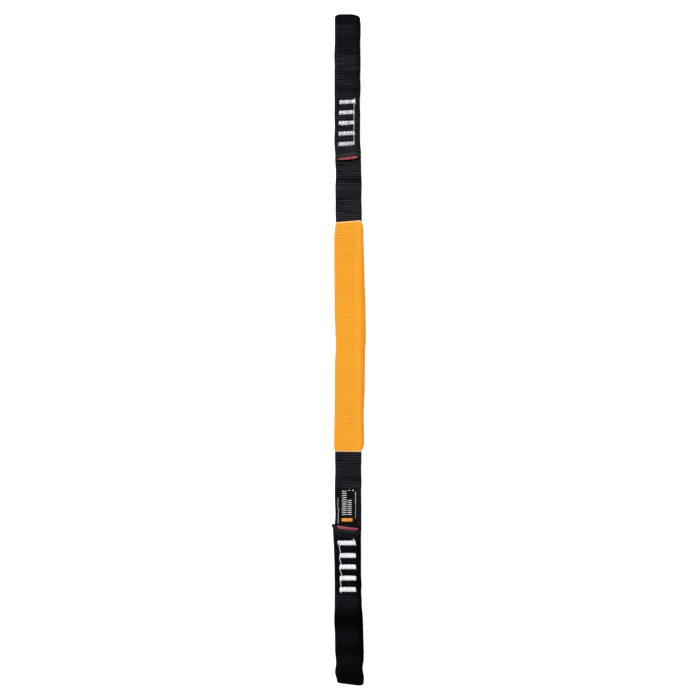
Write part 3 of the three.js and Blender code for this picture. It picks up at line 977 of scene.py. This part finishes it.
def black_webbing():
    m = Shader("black_webbing", Specular_IOR_Level=0.008, Sheen_Weight=0.001, Sheen_Roughness=0.6)
    yarns = m.yarns(YARN_PITCH, RIB_PITCH)
    fuzz = m.noise(2600.0, 4.0)
    patches = m.noise(1.0, 2.0, m.stretched(25.0, 110.0))
    # Painted light and shade from the light attribute, with random patches, rib-to-rib variation and the
    # yarns
    painted_shade_and_tone = m.math("MULTIPLY", m.attribute("light"), m.between(patches, 0.7, 1.3, 0.3, 0.7))
    painted_shade_and_tone = m.math("MULTIPLY", painted_shade_and_tone, m.between(m.noise(1.0, 1.0, m.rib_place(60.0)), 0.6, 1.4, 0.3, 0.7))
    painted_shade_and_tone = m.math("MULTIPLY", painted_shade_and_tone, m.between(yarns, 0.75, 1.15))
    cloth = m.mix(painted_shade_and_tone, (0.0004, 0.0005, 0.0008, 1), (0.035, 0.039, 0.0445, 1))
    # The pale lip: melted, with painted highlight where the cut edge catches the light
    colour = m.mix(m.attribute("melted"), cloth, (0.055, 0.058, 0.064, 1))
    m.feed(m.shader.inputs["Base Color"], colour)
    m.feed(m.shader.inputs["Roughness"], m.between(fuzz, 0.7, 0.95))
    m.bump(m.math("MULTIPLY_ADD", fuzz, 0.35, yarns), 0.1, 0.8)
    return m.material


def red_core():
    m = Shader("red_core", Specular_IOR_Level=0.25, Sheen_Weight=0.15, Sheen_Roughness=0.5)
    yarns = m.yarns(0.5, 0.9)
    streaks = m.noise(900.0, 3.0)
    colour = m.mix(m.between(streaks, 0.0, 1.0, 0.25, 0.75), (0.1, 0.014, 0.017, 1), (0.38, 0.075, 0.08, 1))
    # Pale fibres at the cut, with painted highlight on the left
    colour = m.mix(m.math("MULTIPLY", m.attribute("frayed"), m.between(streaks, 0.2, 1.2)), colour,
                   (0.3, 0.14, 0.17, 1))
    m.feed(m.shader.inputs["Base Color"], colour)
    m.feed(m.shader.inputs["Roughness"], m.between(streaks, 0.6, 0.85))
    m.bump(m.math("MULTIPLY_ADD", streaks, 0.6, yarns), 0.12, 0.8)
    return m.material


def orange_sleeve():
    m = Shader("orange_sleeve", Specular_IOR_Level=0.08, Sheen_Weight=0.04, Sheen_Roughness=0.45)
    yarns = m.yarns(YARN_PITCH, RIB_PITCH)
    fuzz = m.noise(2400.0, 4.0)
    patches = m.noise(38.0, 2.0)
    cloth = m.mix(m.between(patches, 0.0, 1.0), (0.76, 0.315, 0.022, 1), (0.82, 0.355, 0.022, 1))
    woven = m.mix(m.between(yarns, 0.14, 0.0), cloth, (0.62, 0.19, 0.012, 1))
    # Painted shade: deeper orange in the rib valleys
    woven = m.mix(m.between(m.attribute("valley"), 0.0, 0.55), woven, (0.42, 0.12, 0.006, 1))
    # Painted shade: deeper orange towards the right edge, where the top slopes down away from the light
    across, _ = m.weave_place()
    woven = m.mix(m.between(across, 0.0, 0.5, 0.009, 0.014), woven, (0.66, 0.2, 0.02, 1))
    # The pale rims: melted, with painted highlight along the cut edge
    colour = m.mix(m.math("MULTIPLY", m.attribute("melted"), 0.75), woven, (0.9, 0.6, 0.36, 1))
    m.feed(m.shader.inputs["Base Color"], colour)
    m.feed(m.shader.inputs["Roughness"], m.between(fuzz, 0.55, 0.8))
    m.bump(m.math("MULTIPLY_ADD", fuzz, 0.35, yarns), 0.1, 0.7)
    return m.material


def white_thread():
    m = Shader("white_thread", Specular_IOR_Level=0.35, Sheen_Weight=0.1, Sheen_Roughness=0.4)
    twist = m.node("ShaderNodeTexWave", Scale=900.0, Distortion=1.5, Detail=1.0)
    m.feed(twist.inputs["Vector"], m.node("ShaderNodeTexCoord").outputs["Object"])
    twist.bands_direction = "DIAGONAL"
    colour = m.mix(m.attribute("tone"), (0.4, 0.41, 0.44, 1), (0.93, 0.93, 0.95, 1))
    m.feed(m.shader.inputs["Base Color"], colour)
    m.feed(m.shader.inputs["Roughness"], m.between(twist.outputs["Fac"], 0.45, 0.65))
    m.bump(twist.outputs["Fac"], 0.06, 0.5)
    return m.material


def black_satin():
    m = Shader("black_satin", Specular_IOR_Level=0.03, Sheen_Weight=0.003, Sheen_Roughness=0.3)
    yarns = m.yarns(0.22, 0.3)
    patches = m.noise(160.0, 2.0)
    colour = m.mix(patches, (0.0005, 0.0005, 0.0008, 1), (0.0055, 0.0055, 0.0065, 1))
    m.feed(m.shader.inputs["Base Color"], colour)
    m.feed(m.shader.inputs["Roughness"], m.between(patches, 0.38, 0.55))
    m.bump(yarns, 0.02, 0.6)
    return m.material


def ink(name, worn_colour, full_colour):
    m = Shader(name, Specular_IOR_Level=0.25)
    wear = m.noise(1400.0, 3.0)
    m.feed(m.shader.inputs["Base Color"], m.mix(m.between(wear, 0.0, 1.0), worn_colour, full_colour))
    m.feed(m.shader.inputs["Roughness"], m.between(wear, 0.5, 0.7))
    m.bump(wear, 0.015, 0.5)
    return m.material


def floor_material():
    m = Shader("pale_floor", Roughness=0.9, Specular_IOR_Level=0.0, Emission_Strength=0.6)
    m.shader.inputs["Base Color"].default_value = (0.86, 0.86, 0.86, 1)
    m.shader.inputs["Emission Color"].default_value = (1, 1, 1, 1)
    return m.material


# Stage

CAMERA_HEIGHT = 1949.0
CAMERA_SIDE = (0.4, -0.5)
FLOOR_HALF = 6.0  # half of the floor's side, in metres
FLOOR_DROP = 0.0003  # metres below the sling's underside


def make_camera():
    data = bpy.data.cameras.new("camera")
    data.lens = 100
    data.sensor_width = 36
    camera = bpy.data.objects.new("camera", data)
    camera.location = (CAMERA_SIDE[0] * MM, CAMERA_SIDE[1] * MM, CAMERA_HEIGHT * MM)
    bpy.context.scene.collection.objects.link(camera)
    bpy.context.scene.camera = camera


def make_area_light(name, place, size, power):
    data = bpy.data.lights.new(name, "AREA")
    data.size = size
    data.energy = power
    light = bpy.data.objects.new(name, data)
    light.location = place
    light.rotation_euler = (-Vector(place)).to_track_quat("-Z", "Y").to_euler()
    bpy.context.scene.collection.objects.link(light)


def make_stage():
    floor = bpy.data.meshes.new("floor")
    sides = [(-1, -1), (1, -1), (1, 1), (-1, 1)]
    points = [(FLOOR_HALF * x, FLOOR_HALF * y, -FLOOR_DROP) for x, y in sides]
    floor.from_pydata(points, [], [(0, 1, 2, 3)])
    floor.materials.append(floor_material())
    obj = bpy.data.objects.new("floor", floor)
    bpy.context.scene.collection.objects.link(obj)
    world = bpy.data.worlds.new("studio")
    world.use_nodes = True
    world.node_tree.nodes["Background"].inputs["Color"].default_value = (1, 1, 1, 1)
    world.node_tree.nodes["Background"].inputs["Strength"].default_value = 0.45
    bpy.context.scene.world = world
    bpy.context.scene.view_settings.view_transform = "Standard"
    make_area_light("key", place=(-0.8, 1.8, 1.6), size=0.9, power=58)
    make_area_light("fill", place=(0.3, -0.6, 2.2), size=1.6, power=20)


make_camera()
make_stage()

WEBBING = black_webbing()
CORE = red_core()
THREADS = white_thread()
for leg in (UPPER, LOWER):
    make_webbing(leg, WEBBING)
    make_core(leg, CORE)
    for index in range(TACKS):
        make_tack(leg, index, THREADS)
    make_jump_thread(leg, THREADS)
make_sleeve(orange_sleeve())
make_label(black_satin())
make_label_marks(
    ink("pale_ink", (0.4, 0.4, 0.42, 1), (0.78, 0.78, 0.8, 1)),
    ink("orange_ink", (0.55, 0.2, 0.02, 1), (0.75, 0.3, 0.03, 1)),
    ink("grey_ink", (0.15, 0.15, 0.16, 1), (0.55, 0.55, 0.6, 1)),
)
